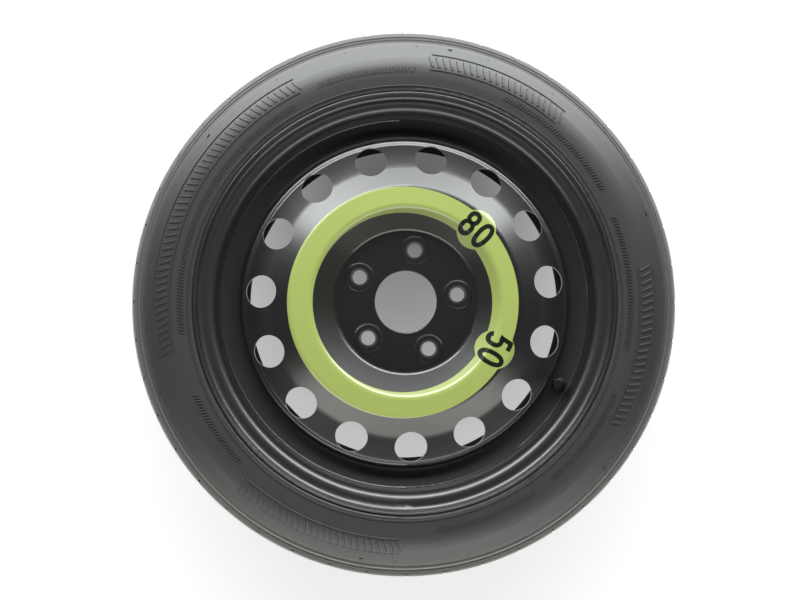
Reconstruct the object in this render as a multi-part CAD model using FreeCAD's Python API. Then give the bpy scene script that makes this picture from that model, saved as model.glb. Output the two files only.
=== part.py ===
import FreeCAD, Part
import math
import os
from FreeCAD import Placement, Rotation, Vector

# Temporary spare wheel: a narrow tyre on a pressed-steel wheel with a snap-in valve.
# Millimetres. The wheel axis is Z and the outboard face is up.
# The origin is the centre of the hub bore on the hub mounting face.

# Rim, rolled from sheet to a J-flange section
RIM_WIDTH = 101.6
RIM_SHEET = 2.6
WHEEL_OFFSET = 45.0
BEAD_SEAT_DIAMETER = 405.6
BEAD_SEAT_WIDTH = 19.8
BEAD_SEAT_TAPER = 5.0
BEAD_HEEL_RADIUS = 6.5
FLANGE_HEIGHT = 17.3
FLANGE_CURL_RADIUS = 9.5
FLANGE_LIP_LENGTH = 1.5
HUMP_RUN = 8.5
HUMP_RISE = 1.9
HUMP_RADIUS = 5.0
WELL_DEPTH = 25.8
WELL_WIDTH = 30.0
WELL_BEND_RADIUS = 7.0

# Pressed disc
DISC_SHEET = 3.5
DISC_FIT_GAP = 0.1
DISC_FLANGE_LENGTH = 44.0
DISC_BEND_RADIUS = 4.0
HUB_BORE_DIAMETER = 65.1
PAD_DIAMETER = 151.0
PAD_BEND_RADIUS = 5.0
CROWN_INNER_DIAMETER = 197.0
CROWN_OUTER_DIAMETER = 239.0
CROWN_HEIGHT = 22.0
CROWN_FALL = 1.1
CROWN_BEND_RADIUS = 7.0
DOME_BEND_DIAMETER = 286.0
DOME_DROP = 12.0
DOME_BEND_RADIUS = 40.0
EDGE_DIAMETER = 336.6
EDGE_DROP = 18.4
EDGE_FALL = 1.2
EDGE_BEND_RADIUS = 3.0
VENT_COUNT = 15
VENT_DIAMETER = 34.2
VENT_CIRCLE_DIAMETER = 304.2
VENT_FLANGE_CLEARANCE = 1.0
BOLT_COUNT = 5
BOLT_CIRCLE_DIAMETER = 110.0
BOLT_HOLE_DIAMETER = 15.0
BOLT_HOLE_STRAIGHT = 1.5
BOLT_SEAT_ANGLE = 60.0
BOLT_BOSS_DIAMETER = 31.0
BOLT_BOSS_HEIGHT = 1.6
HOLE_START_ANGLE = 8.0

# Fillet welds between disc and well
WELD_COUNT = 4
WELD_ARC = 50.0
WELD_LEG = 4.0

# Tyre
TYRE_DIAMETER = 581.0
TYRE_SECTION_WIDTH = 125.0
SIDEWALL_APEX_DIAMETER = 492.0
SIDEWALL_RADIUS = 60.0
SIDEWALL_THICKNESS = 7.0
BEAD_WIDTH = 17.0
BEAD_FIT_GAP = 0.2
CURL_WRAP_ANGLE = 60.0
TREAD_WIDTH = 98.0
TREAD_THICKNESS = 11.0
TREAD_DEPTH = 5.0
TREAD_DROP = 4.0
SHOULDER_RADIUS = 9.0
SHOULDER_STEP_DIAMETER = 546.0
SHOULDER_STEP = 0.9
GROOVE_WIDTH = 7.0
INNER_GROOVE_POSITION = 11.5
OUTER_GROOVE_POSITION = 32.0
NOTCH_COUNT = 44
NOTCH_WIDTH = 2.4
NOTCH_DEPTH = 3.5
NOTCH_LENGTH = 22.0

# Snap-in valve, lengths measured along its own axis from the rim wall
VALVE_ANGLE = -28.0
VALVE_HOLE_DIAMETER = 11.5
VALVE_FIT_GAP = 0.1
STEM_LENGTH = 23.0
STEM_RUBBER_LENGTH = 13.5
STEM_COLLAR_DIAMETER = 15.2
STEM_TOP_DIAMETER = 10.8
STEM_FOOT_DIAMETER = 16.0
STEM_FOOT_THICKNESS = 4.5
INSERT_DIAMETER = 6.0
CAP_THREAD_DIAMETER = 7.7
CORE_THREAD_DIAMETER = 5.3
CORE_SEAT_DIAMETER = 4.3
AIR_WAY_DIAMETER = 3.0
CORE_RECESS = 0.6
CORE_PLUG_LENGTH = 4.5
CORE_BRIDGE_WIDTH = 2.4
CORE_GASKET_LENGTH = 2.9
CORE_BARREL_DIAMETER = 2.8
CORE_BARREL_LENGTH = 9.3
CORE_BARREL_WALL = 0.25
CORE_BARREL_END = 0.8
CORE_PIN_DIAMETER = 1.0
CORE_COLLAR_DIAMETER = 2.0
CORE_COLLAR_THICKNESS = 0.7
CORE_SEAL_DIAMETER = 2.9
CORE_SEAL_THICKNESS = 1.6
SPRING_WIRE_DIAMETER = 0.3
SPRING_TURNS = 5.0
CAP_DIAMETER = 10.0
CAP_WALL = 1.0
CAP_TOP = 1.6
CAP_GROOVE_COUNT = 12
CAP_SEAL_THICKNESS = 0.8

AXIS = Vector(0, 0, 1)
CENTRE = Vector(0, 0, 0)

rim_half_width = RIM_WIDTH / 2
rim_centre_z = -WHEEL_OFFSET
bead_seat_radius = BEAD_SEAT_DIAMETER / 2
lip_radius = bead_seat_radius + FLANGE_HEIGHT
well_radius = bead_seat_radius - WELL_DEPTH
seat_slope = math.tan(math.radians(BEAD_SEAT_TAPER))
well_inner_radius = well_radius - RIM_SHEET
disc_outer_radius = well_inner_radius - DISC_FIT_GAP


def unit(a, b):
    """The direction (a, b) with length one."""
    length = math.hypot(a, b)
    return a / length, b / length


def offset_path(corners, distance):
    """An open path of (a, b, corner radius) moved to the left of its direction of travel."""
    directions = [unit(q[0] - p[0], q[1] - p[1]) for p, q in zip(corners, corners[1:])]
    moved = []
    for index, (a, b, radius) in enumerate(corners):
        before = directions[max(index - 1, 0)]
        after = directions[min(index, len(directions) - 1)]
        turn = before[0] * after[1] - before[1] * after[0]
        reach = distance / (1 + before[0] * after[0] + before[1] * after[1])
        new_a = a - (before[1] + after[1]) * reach
        new_b = b + (before[0] + after[0]) * reach
        new_radius = radius - math.copysign(distance, turn) if radius else 0
        moved.append((new_a, new_b, new_radius))
    return moved


def rounded_wire(corners):
    """A closed wire in the XZ plane through (radius, height, corner radius) corners."""
    stations = []
    for index, (r, z, radius) in enumerate(corners):
        before = corners[index - 1]
        after = corners[(index + 1) % len(corners)]
        d1 = unit(r - before[0], z - before[1])
        d2 = unit(after[0] - r, after[1] - z)
        turn = math.acos(max(-1.0, min(1.0, d1[0] * d2[0] + d1[1] * d2[1])))
        if radius < 1e-6 or turn < 1e-4:
            stations.append((Vector(r, 0, z), None, Vector(r, 0, z)))
            continue
        cut = radius * math.tan(turn / 2)
        sag = radius / math.cos(turn / 2) - radius
        towards = unit(d2[0] - d1[0], d2[1] - d1[1])
        start = Vector(r - d1[0] * cut, 0, z - d1[1] * cut)
        middle = Vector(r + towards[0] * sag, 0, z + towards[1] * sag)
        end = Vector(r + d2[0] * cut, 0, z + d2[1] * cut)
        stations.append((start, middle, end))
    edges = []
    for index, (start, middle, end) in enumerate(stations):
        previous_end = stations[index - 1][2]
        if (start - previous_end).Length > 1e-5:
            edges.append(Part.makeLine(previous_end, start))
        if middle is not None:
            edges.append(Part.Arc(start, middle, end).toShape())
    return Part.Wire(edges)


def turned(corners, angle=360.0):
    """The solid swept by a closed section turned about the Z axis."""
    solid = Part.Face(rounded_wire(corners)).revolve(CENTRE, AXIS, angle)
    if solid.Volume < 0:
        solid.reverse()
    return solid


def around(shape, count, start_angle=0.0):
    """Copies of a shape spaced evenly about the Z axis."""
    copies = []
    for index in range(count):
        copy = shape.copy()
        copy.rotate(CENTRE, AXIS, start_angle + index * 360.0 / count)
        copies.append(copy)
    return copies


def section_at_rim(path):
    """Corners given as (axial position from the rim centre, radius) put in the row's frame."""
    return [(r, u + rim_centre_z, radius) for u, r, radius in path]


def rim_tyre_side():
    """The rim's tyre-side line from the outboard lip to the inboard lip."""
    seat_end = rim_half_width - BEAD_SEAT_WIDTH
    seat_end_radius = bead_seat_radius - BEAD_SEAT_WIDTH * seat_slope
    hump_at = seat_end - HUMP_RUN
    hump_radius = seat_end_radius + HUMP_RISE
    flange = [
        (rim_half_width + FLANGE_CURL_RADIUS + FLANGE_LIP_LENGTH, lip_radius, 0),
        (rim_half_width, lip_radius, FLANGE_CURL_RADIUS),
        (rim_half_width, bead_seat_radius, BEAD_HEEL_RADIUS),
        (seat_end, seat_end_radius, HUMP_RADIUS),
        (hump_at, hump_radius, HUMP_RADIUS),
        (WELL_WIDTH / 2, well_radius, WELL_BEND_RADIUS),
    ]
    return flange + [(-u, r, radius) for u, r, radius in reversed(flange)]


def valve_seat():
    """Where the valve leaves the outboard well wall, and the direction it points."""
    path = rim_tyre_side()
    top = path[4]
    foot = path[5]
    along = unit(foot[0] - top[0], foot[1] - top[1])
    out_u = -along[1]
    out_r = along[0]
    seat_u = (top[0] + foot[0]) / 2 + out_u * RIM_SHEET
    seat_r = (top[1] + foot[1]) / 2 + out_r * RIM_SHEET
    angle = math.radians(VALVE_ANGLE)
    point = Vector(seat_r * math.cos(angle), seat_r * math.sin(angle), seat_u + rim_centre_z)
    direction = Vector(out_r * math.cos(angle), out_r * math.sin(angle), out_u)
    return point, direction


def at_valve(shape):
    """A shape built along its own Z axis, moved on to the valve axis."""
    point, direction = valve_seat()
    placed = shape.copy()
    placed.Placement = Placement(point, Rotation(AXIS, direction)).multiply(placed.Placement)
    return placed


def make_rim():
    """Rolled rim ring with both flanges, humps, the well and the valve hole."""
    outer = rim_tyre_side()
    inner = offset_path(outer, RIM_SHEET)
    edge = RIM_SHEET * 0.45
    ring = outer + list(reversed(inner))
    for index in (0, len(outer) - 1, len(outer), len(ring) - 1):
        u, r, radius = ring[index]
        ring[index] = (u, r, edge)
    hole = Part.makeCylinder(VALVE_HOLE_DIAMETER / 2, 6 * RIM_SHEET, Vector(0, 0, -4 * RIM_SHEET), AXIS)
    return turned(section_at_rim(ring)).cut(at_valve(hole))


def disc_front():
    """The disc's outboard line from the hub bore to the end of its rim flange."""
    crown_z = DISC_SHEET + CROWN_HEIGHT
    dome_z = crown_z - CROWN_FALL - DOME_DROP
    edge_z = dome_z - EDGE_DROP
    bend_z = edge_z - EDGE_FALL
    return [
        (HUB_BORE_DIAMETER / 2, DISC_SHEET, 0),
        (PAD_DIAMETER / 2, DISC_SHEET, PAD_BEND_RADIUS),
        (CROWN_INNER_DIAMETER / 2, crown_z, CROWN_BEND_RADIUS),
        (CROWN_OUTER_DIAMETER / 2, crown_z - CROWN_FALL, CROWN_BEND_RADIUS),
        (DOME_BEND_DIAMETER / 2, dome_z, DOME_BEND_RADIUS),
        (EDGE_DIAMETER / 2, edge_z, EDGE_BEND_RADIUS),
        (disc_outer_radius, bend_z, DISC_BEND_RADIUS),
        (disc_outer_radius, bend_z - DISC_FLANGE_LENGTH, 0),
    ]


def make_vent():
    """One vent punch, along the press direction and clear of the flange's inner wall."""
    reach = CROWN_HEIGHT + DOME_DROP + EDGE_DROP + DISC_SHEET
    punch = Part.makeCylinder(VENT_DIAMETER / 2, 2 * reach, Vector(VENT_CIRCLE_DIAMETER / 2, 0, -reach), AXIS)
    flange_inside = disc_outer_radius - DISC_SHEET - VENT_FLANGE_CLEARANCE
    return punch.common(Part.makeCylinder(flange_inside, 2 * reach, Vector(0, 0, -reach), AXIS))


def make_bolt_boss():
    """The raised ring round one bolt hole."""
    foot = BOLT_BOSS_DIAMETER / 2
    sunk = DISC_SHEET / 2
    at = Vector(BOLT_CIRCLE_DIAMETER / 2, 0, DISC_SHEET - sunk)
    return Part.makeCone(foot + sunk, foot - BOLT_BOSS_HEIGHT, sunk + BOLT_BOSS_HEIGHT, at, AXIS)


def make_bolt_hole():
    """One bolt hole with its conical seat."""
    radius = BOLT_HOLE_DIAMETER / 2
    at = BOLT_CIRCLE_DIAMETER / 2
    through = Part.makeCylinder(radius, 4 * DISC_SHEET, Vector(at, 0, -DISC_SHEET), AXIS)
    rise = DISC_SHEET + BOLT_BOSS_HEIGHT - BOLT_HOLE_STRAIGHT + 1.0
    mouth = radius + rise * math.tan(math.radians(BOLT_SEAT_ANGLE / 2))
    seat = Part.makeCone(radius, mouth, rise, Vector(at, 0, BOLT_HOLE_STRAIGHT), AXIS)
    return through.fuse(seat)


def make_disc():
    """Pressed disc with hub bore, bolt seats and vents."""
    front = disc_front()
    rear = offset_path(front, -DISC_SHEET)
    sheet = front + list(reversed(rear))
    r, z, radius = sheet[0]
    sheet[0] = (r, z, 0.8)
    disc = turned(sheet)
    disc = disc.fuse(around(make_bolt_boss(), BOLT_COUNT, HOLE_START_ANGLE)).removeSplitter()
    punches = around(make_bolt_hole(), BOLT_COUNT, HOLE_START_ANGLE)
    punches += around(make_vent(), VENT_COUNT, HOLE_START_ANGLE)
    return disc.cut(Part.makeCompound(punches))


def make_welds():
    """Fillet welds in the corner between the disc's flange end and the well."""
    end_z = disc_front()[-1][1] - DISC_FIT_GAP
    outer = well_inner_radius - DISC_FIT_GAP
    section = [
        (outer, end_z, 0),
        (outer, end_z - WELD_LEG, WELD_LEG * 0.1),
        (outer - WELD_LEG * 0.4, end_z - WELD_LEG * 0.6, WELD_LEG * 0.3),
        (outer - WELD_LEG * 0.8, end_z, 0),
    ]
    return Part.makeCompound(around(turned(section, WELD_ARC), WELD_COUNT, HOLE_START_ANGLE))


def tread_radius(u):
    """Radius of the tread surface at an axial position from the rim centre."""
    return TYRE_DIAMETER / 2 - TREAD_DROP * (u / (TREAD_WIDTH / 2)) ** 2


def tread_groove(position):
    """Corners of one circumferential groove, from its outer edge to its inner edge."""
    outer = position + GROOVE_WIDTH / 2
    inner = position - GROOVE_WIDTH / 2
    slope = GROOVE_WIDTH * 0.12
    floor = tread_radius(position) - TREAD_DEPTH
    return [
        (outer, tread_radius(outer), 0),
        (outer - slope, floor, 0),
        (inner + slope, floor, 0),
        (inner, tread_radius(inner), 0),
    ]


def tyre_outer_half():
    """Outboard half of the tyre's outer line, from the bead toe to the tread."""
    face = rim_half_width - BEAD_FIT_GAP
    toe_at = rim_half_width - BEAD_WIDTH
    wrap = math.radians(CURL_WRAP_ANGLE)
    curl = FLANGE_CURL_RADIUS + BEAD_FIT_GAP
    curl_corner = lip_radius - FLANGE_CURL_RADIUS + curl * math.tan(wrap / 2)
    side = TYRE_SECTION_WIDTH / 2
    foot_at = side - 2.0
    foot_radius = curl_corner + (foot_at - face) / math.tan(wrap)
    step = SHOULDER_STEP_DIAMETER / 2
    step_at = side - 5.3
    return [
        (toe_at, bead_seat_radius - BEAD_WIDTH * seat_slope + BEAD_FIT_GAP, 1.0),
        (face, bead_seat_radius + BEAD_FIT_GAP, BEAD_HEEL_RADIUS - BEAD_FIT_GAP),
        (face, curl_corner, curl),
        (foot_at, foot_radius, 5.0),
        (side + 0.9, SIDEWALL_APEX_DIAMETER / 2, SIDEWALL_RADIUS),
        (step_at, step, 0),
        (step_at - SHOULDER_STEP, step + SHOULDER_STEP * 0.5, 0),
        (TREAD_WIDTH / 2, tread_radius(TREAD_WIDTH / 2), SHOULDER_RADIUS),
    ] + tread_groove(OUTER_GROOVE_POSITION) + tread_groove(INNER_GROOVE_POSITION)


def tyre_inner_half():
    """Outboard half of the tyre's cavity line, from the crown to the bead toe."""
    side = TYRE_SECTION_WIDTH / 2 - SIDEWALL_THICKNESS
    crown = TYRE_DIAMETER / 2 - TREAD_THICKNESS
    toe_at = rim_half_width - BEAD_WIDTH
    return [
        (TREAD_WIDTH / 2 + 1.5, crown, 22.0),
        (side + 0.3, bead_seat_radius + 35.0, 25.0),
        (toe_at + 0.7, bead_seat_radius + 9.0, 10.0),
    ]


def make_tyre():
    """Moulded tyre, hollow and open towards the rim, with grooved and notched tread."""
    outer = tyre_outer_half()
    inner = tyre_inner_half()
    section = outer + [(-u, r, radius) for u, r, radius in reversed(outer)]
    section += [(-u, r, radius) for u, r, radius in reversed(inner)] + inner
    tyre = turned(section_at_rim(section))
    edge = TREAD_WIDTH / 2
    floor = tread_radius(edge) - NOTCH_DEPTH
    start = edge - 8.5
    cutter = Part.makeBox(30.0, NOTCH_WIDTH, NOTCH_LENGTH, Vector(floor, -NOTCH_WIDTH / 2, rim_centre_z + start))
    mirror = Part.makeBox(
        30.0, NOTCH_WIDTH, NOTCH_LENGTH, Vector(floor, -NOTCH_WIDTH / 2, rim_centre_z - start - NOTCH_LENGTH)
    )
    pitch = 360.0 / NOTCH_COUNT
    notches = around(cutter, NOTCH_COUNT) + around(mirror, NOTCH_COUNT, pitch / 2)
    return tyre.cut(Part.makeCompound(notches))


def make_stem_rubber():
    """Rubber body of the valve, gripping the rim hole."""
    bore = INSERT_DIAMETER / 2 + VALVE_FIT_GAP / 2
    neck = VALVE_HOLE_DIAMETER / 2 - VALVE_FIT_GAP
    inside = -RIM_SHEET - VALVE_FIT_GAP
    foot = inside - STEM_FOOT_THICKNESS
    collar = STEM_COLLAR_DIAMETER / 2
    top = STEM_TOP_DIAMETER / 2
    return at_valve(turned([
        (bore, foot, 0),
        (STEM_FOOT_DIAMETER / 2 - 0.8, foot, 1.0),
        (STEM_FOOT_DIAMETER / 2, inside, 0.8),
        (neck, inside, 0),
        (neck, VALVE_FIT_GAP, 0),
        (collar, VALVE_FIT_GAP, 0.5),
        (collar, STEM_RUBBER_LENGTH * 0.17, 0.8),
        ((collar + top) / 2 - 0.4, STEM_RUBBER_LENGTH * 0.5, 3.0),
        (top, STEM_RUBBER_LENGTH, 0.8),
        (bore, STEM_RUBBER_LENGTH, 0),
    ]))


def make_stem_insert():
    """Brass tube of the valve with the cap thread's diameter on its tip."""
    foot = -RIM_SHEET - STEM_FOOT_THICKNESS
    shoulder = STEM_RUBBER_LENGTH + VALVE_FIT_GAP
    thread = CAP_THREAD_DIAMETER / 2
    core = CORE_THREAD_DIAMETER / 2
    seat = CORE_SEAT_DIAMETER / 2
    air = AIR_WAY_DIAMETER / 2
    seat_top = gasket_foot() + 1.2
    return at_valve(turned([
        (INSERT_DIAMETER / 2, foot, 0),
        (INSERT_DIAMETER / 2, shoulder, 0),
        (thread, shoulder, 0),
        (thread, STEM_LENGTH - 0.5, 0),
        (thread - 0.5, STEM_LENGTH, 0),
        (core, STEM_LENGTH, 0),
        (core, seat_top, 0),
        (seat, seat_top - 1.5, 0),
        (seat, barrel_foot() - 5.5, 0),
        (air, barrel_foot() - 6.5, 0),
        (air, foot, 0),
    ]))


def plug_foot():
    return STEM_LENGTH - CORE_RECESS - CORE_PLUG_LENGTH


def gasket_foot():
    return plug_foot() - VALVE_FIT_GAP - CORE_GASKET_LENGTH


def barrel_foot():
    return plug_foot() - VALVE_FIT_GAP - CORE_BARREL_LENGTH


def pin_clearance_radius():
    return CORE_PIN_DIAMETER / 2 + 2.5 * VALVE_FIT_GAP


def make_core_plug():
    """Screw plug of the valve core with the bridge that a key turns."""
    radius = CORE_THREAD_DIAMETER / 2 - VALVE_FIT_GAP / 2
    plug = turned([
        (pin_clearance_radius(), plug_foot(), 0),
        (radius, plug_foot(), 0),
        (radius, plug_foot() + CORE_PLUG_LENGTH, 0),
        (pin_clearance_radius(), plug_foot() + CORE_PLUG_LENGTH, 0),
    ])
    half = CORE_BRIDGE_WIDTH / 2
    middle = plug_foot() + CORE_PLUG_LENGTH / 2
    sides = [
        Part.makeBox(4 * radius, 4 * radius, CORE_PLUG_LENGTH, Vector(-2 * radius, half, middle)),
        Part.makeBox(4 * radius, 4 * radius, CORE_PLUG_LENGTH, Vector(-2 * radius, -half - 4 * radius, middle)),
    ]
    return at_valve(plug.cut(Part.makeCompound(sides)))


def make_core_gasket():
    """Tapered ring that seals the core against the insert."""
    foot = gasket_foot()
    top = foot + CORE_GASKET_LENGTH
    bore = CORE_BARREL_DIAMETER / 2 + VALVE_FIT_GAP / 2
    wide = CORE_THREAD_DIAMETER / 2 - VALVE_FIT_GAP
    narrow = CORE_SEAT_DIAMETER / 2 - VALVE_FIT_GAP
    return at_valve(turned([
        (bore, foot, 0),
        (narrow, foot, 0),
        (wide, foot + 1.5, 0),
        (wide, top, 0),
        (bore, top, 0),
    ]))


def make_core_barrel():
    """Sleeve that guides the pin and holds the spring."""
    foot = barrel_foot()
    top = foot + CORE_BARREL_LENGTH
    outer = CORE_BARREL_DIAMETER / 2
    bore = outer - CORE_BARREL_WALL
    pin = pin_clearance_radius()
    return at_valve(turned([
        (pin, foot, 0),
        (outer, foot, 0),
        (outer, top, 0),
        (pin, top, 0),
        (pin, top - CORE_BARREL_END, 0),
        (bore, top - CORE_BARREL_END, 0),
        (bore, foot + CORE_BARREL_END, 0),
        (pin, foot + CORE_BARREL_END, 0),
    ]))


def collar_foot():
    """Underside of the pin's collar, where the spring pushes."""
    return barrel_foot() + CORE_BARREL_LENGTH - CORE_BARREL_END - 2 * CORE_COLLAR_THICKNESS


def make_core_pin():
    """Plunger with the collar that the spring pushes and the head that holds the seal."""
    seal_foot = barrel_foot() - VALVE_FIT_GAP - CORE_SEAL_THICKNESS
    head = seal_foot - VALVE_FIT_GAP
    pin = CORE_PIN_DIAMETER / 2
    collar = CORE_COLLAR_DIAMETER / 2
    return at_valve(turned([
        (0, head - 0.5, 0),
        (1.8 * pin, head - 0.5, 0),
        (1.8 * pin, head, 0),
        (pin, head, 0),
        (pin, collar_foot(), 0),
        (collar, collar_foot(), 0),
        (collar, collar_foot() + CORE_COLLAR_THICKNESS, 0),
        (pin, collar_foot() + CORE_COLLAR_THICKNESS, 0),
        (pin, STEM_LENGTH - 0.4, 0),
        (0, STEM_LENGTH - 0.4, 0),
    ]))


def make_core_seal():
    """Rubber disc that the spring holds against the barrel's end."""
    top = barrel_foot() - VALVE_FIT_GAP
    bore = CORE_PIN_DIAMETER / 2 + VALVE_FIT_GAP / 2
    outer = CORE_SEAL_DIAMETER / 2
    return at_valve(turned([
        (bore, top - CORE_SEAL_THICKNESS, 0),
        (outer - 0.3, top - CORE_SEAL_THICKNESS, 0),
        (outer, top - CORE_SEAL_THICKNESS + 0.3, 0),
        (outer, top, 0),
        (bore, top, 0),
    ]))


def make_core_spring():
    """Coil spring between the barrel's end and the pin's collar."""
    wire = SPRING_WIRE_DIAMETER / 2
    bore = CORE_BARREL_DIAMETER / 2 - CORE_BARREL_WALL
    coil = bore - wire - VALVE_FIT_GAP / 2
    foot = barrel_foot() + CORE_BARREL_END + wire + VALVE_FIT_GAP / 2
    height = collar_foot() - wire - VALVE_FIT_GAP / 2 - foot
    helix = Part.makeHelix(height / SPRING_TURNS, height, coil)
    profile = Part.Wire(Part.makeCircle(wire, Vector(coil, 0, 0), Vector(0, 1, 0)))
    spring = Part.Wire(helix).makePipeShell([profile], True, True)
    spring.translate(Vector(0, 0, foot))
    return at_valve(spring)


def make_cap():
    """Plastic screw cap with gripping grooves."""
    foot = STEM_RUBBER_LENGTH + 4 * VALVE_FIT_GAP
    roof = STEM_LENGTH + 2 * VALVE_FIT_GAP + CAP_SEAL_THICKNESS
    top = roof + CAP_TOP
    outer = CAP_DIAMETER / 2
    bore = outer - CAP_WALL
    cap = turned([
        (bore, foot, 0),
        (outer, foot, 0.4),
        (outer - 0.2, top, 1.4),
        (0, top, 0),
        (0, roof, 0),
        (bore, roof, 0),
    ])
    groove = Part.makeCylinder(0.5, top - foot - 4.0, Vector(outer + 0.2, 0, foot + 1.5), AXIS)
    return at_valve(cap.cut(Part.makeCompound(around(groove, CAP_GROOVE_COUNT))))


def make_cap_seal():
    """Rubber disc inside the cap's roof."""
    radius = CAP_DIAMETER / 2 - CAP_WALL - VALVE_FIT_GAP
    foot = STEM_LENGTH + VALVE_FIT_GAP
    return at_valve(Part.makeCylinder(radius, CAP_SEAL_THICKNESS, Vector(0, 0, foot), AXIS))


os.makedirs("parts", exist_ok=True)
make_tyre().exportStep("parts/tyre.step")
make_rim().exportStep("parts/rim.step")
make_disc().exportStep("parts/wheel_disc.step")
make_welds().exportStep("parts/weld_seams.step")
make_stem_rubber().exportStep("parts/valve_stem_rubber.step")
make_stem_insert().exportStep("parts/valve_stem_insert.step")
make_core_plug().exportStep("parts/valve_core_plug.step")
make_core_gasket().exportStep("parts/valve_core_gasket.step")
make_core_barrel().exportStep("parts/valve_core_barrel.step")
make_core_pin().exportStep("parts/valve_core_pin.step")
make_core_seal().exportStep("parts/valve_core_seal.step")
make_core_spring().exportStep("parts/valve_core_spring.step")
make_cap().exportStep("parts/valve_cap.step")
make_cap_seal().exportStep("parts/valve_cap_seal.step")
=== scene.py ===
import math

import bmesh
import bpy
from bpy.props import (
    FloatProperty,
    FloatVectorProperty,
    IntProperty,
    PointerProperty,
    StringProperty,
)
from mathutils import Matrix, Vector
from mathutils.bvhtree import BVHTree


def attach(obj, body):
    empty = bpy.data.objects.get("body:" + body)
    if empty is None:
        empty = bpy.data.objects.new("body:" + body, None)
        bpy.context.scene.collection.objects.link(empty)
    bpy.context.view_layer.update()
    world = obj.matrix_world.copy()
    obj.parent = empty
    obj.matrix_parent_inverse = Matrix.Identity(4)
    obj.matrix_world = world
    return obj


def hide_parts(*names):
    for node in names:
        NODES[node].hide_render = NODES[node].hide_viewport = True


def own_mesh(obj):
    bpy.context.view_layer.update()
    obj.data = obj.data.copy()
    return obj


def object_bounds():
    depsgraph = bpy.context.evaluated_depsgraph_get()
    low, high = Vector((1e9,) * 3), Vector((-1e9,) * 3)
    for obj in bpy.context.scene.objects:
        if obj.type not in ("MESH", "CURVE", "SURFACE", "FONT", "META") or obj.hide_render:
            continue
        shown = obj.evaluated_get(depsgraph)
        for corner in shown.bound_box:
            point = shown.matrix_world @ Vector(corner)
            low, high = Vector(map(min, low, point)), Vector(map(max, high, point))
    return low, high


bl_info = {
    "name": "Temporary spare wheel",
    "version": (1, 0, 0),
    "blender": (4, 5, 0),
    "location": "3D View > Sidebar > Spare Wheel",
    "description": "Finishes, markings and moulded detail of a temporary spare wheel",
    "category": "Object",
}

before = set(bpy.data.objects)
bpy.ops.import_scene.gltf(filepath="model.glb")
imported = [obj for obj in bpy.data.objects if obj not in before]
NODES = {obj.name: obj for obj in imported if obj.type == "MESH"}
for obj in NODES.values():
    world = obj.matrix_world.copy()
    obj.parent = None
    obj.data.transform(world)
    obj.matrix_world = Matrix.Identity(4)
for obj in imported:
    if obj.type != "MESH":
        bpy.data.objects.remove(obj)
CAD_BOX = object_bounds()
WHEEL = "wheel"
FULL_TURN = 2 * math.pi

# Inputs of the Principled shader for each finish
GLOSS_PAINT = {"Specular IOR Level": 0.9, "Coat Weight": 1.0, "Coat IOR": 1.75}
RIM_PAINT = {**GLOSS_PAINT, "Roughness": 0.36, "Coat Roughness": 0.30}
DISC_PAINT = {**GLOSS_PAINT, "Roughness": 0.30, "Coat Roughness": 0.27}
PRIMER = {"Roughness": 0.8, "Specular IOR Level": 0.03}
NUMBER_PAINT = {"Roughness": 0.35}
TYRE_RUBBER = {"Roughness": 0.38, "Specular IOR Level": 1.0, "Coat Weight": 0.6, "Coat Roughness": 0.36}
VALVE_RUBBER = {"Roughness": 0.4}
TURNED_BRASS = {"Metallic": 1.0, "Roughness": 0.28}
GASKET_PLASTIC = {"Roughness": 0.5}
CAP_PLASTIC = {"Roughness": 0.32}
SPRING_WIRE = {"Metallic": 1.0, "Roughness": 0.25}
FLOOR_MATT = {"Roughness": 0.9}

# Scale and strength of each fine bump, and what all of them share
PAINT_GRAIN = (900.0, 0.03)
RUBBER_GRAIN = (1500.0, 0.12)
GRAIN_DETAIL = 4.0
GRAIN_DEPTH = 0.0003

# Half the width of a paint edge
PAINT_EDGE = 0.00015
# How squarely a face looks at the wheel axis to count as the flange's inside
FACING_IN = 0.7

# Degrees between an oval's points, and how far an oval leans towards a rectangle
OVAL_STEP = 6
OVAL_SQUARENESS = 2.3
# Strips across a digit's stroke, and the sharpest corner that is mitred in full
STROKE_STRIPS = 4
MITRE_LIMIT = 0.7
# How far outside the wheel's box a mark starts its way to the surface
DROP_CLEARANCE = 0.1

# Inputs of the node group that repeats moulded marks
ARC_INPUTS = (
    ("Count", "NodeSocketInt"), ("Start", "NodeSocketFloat"), ("Sweep", "NodeSocketFloat"),
    ("Radius", "NodeSocketFloat"), ("Lean", "NodeSocketFloat"), ("Bar", "NodeSocketVector"),
    ("Sides", "NodeSocketInt"), ("Rubber", "NodeSocketMaterial"),
)
# Points along a bar, and the share of its width by which its upper edges slope in
BAR_POINTS = 5
BAR_DRAFT = 0.3
# Angle between a ring's points, half its flat top as a share, and the depth of its sunk edges
RING_STEP = math.radians(1.0)
RING_TOP = 0.15
RING_ROOT = 0.0002

# Largest gap that is closed in the coil's mesh, and the angle above which its edges stay sharp
MERGE_GAP = 1e-6
COIL_SHARP = math.radians(40)
FLOOR_SIDES = 96


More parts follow.
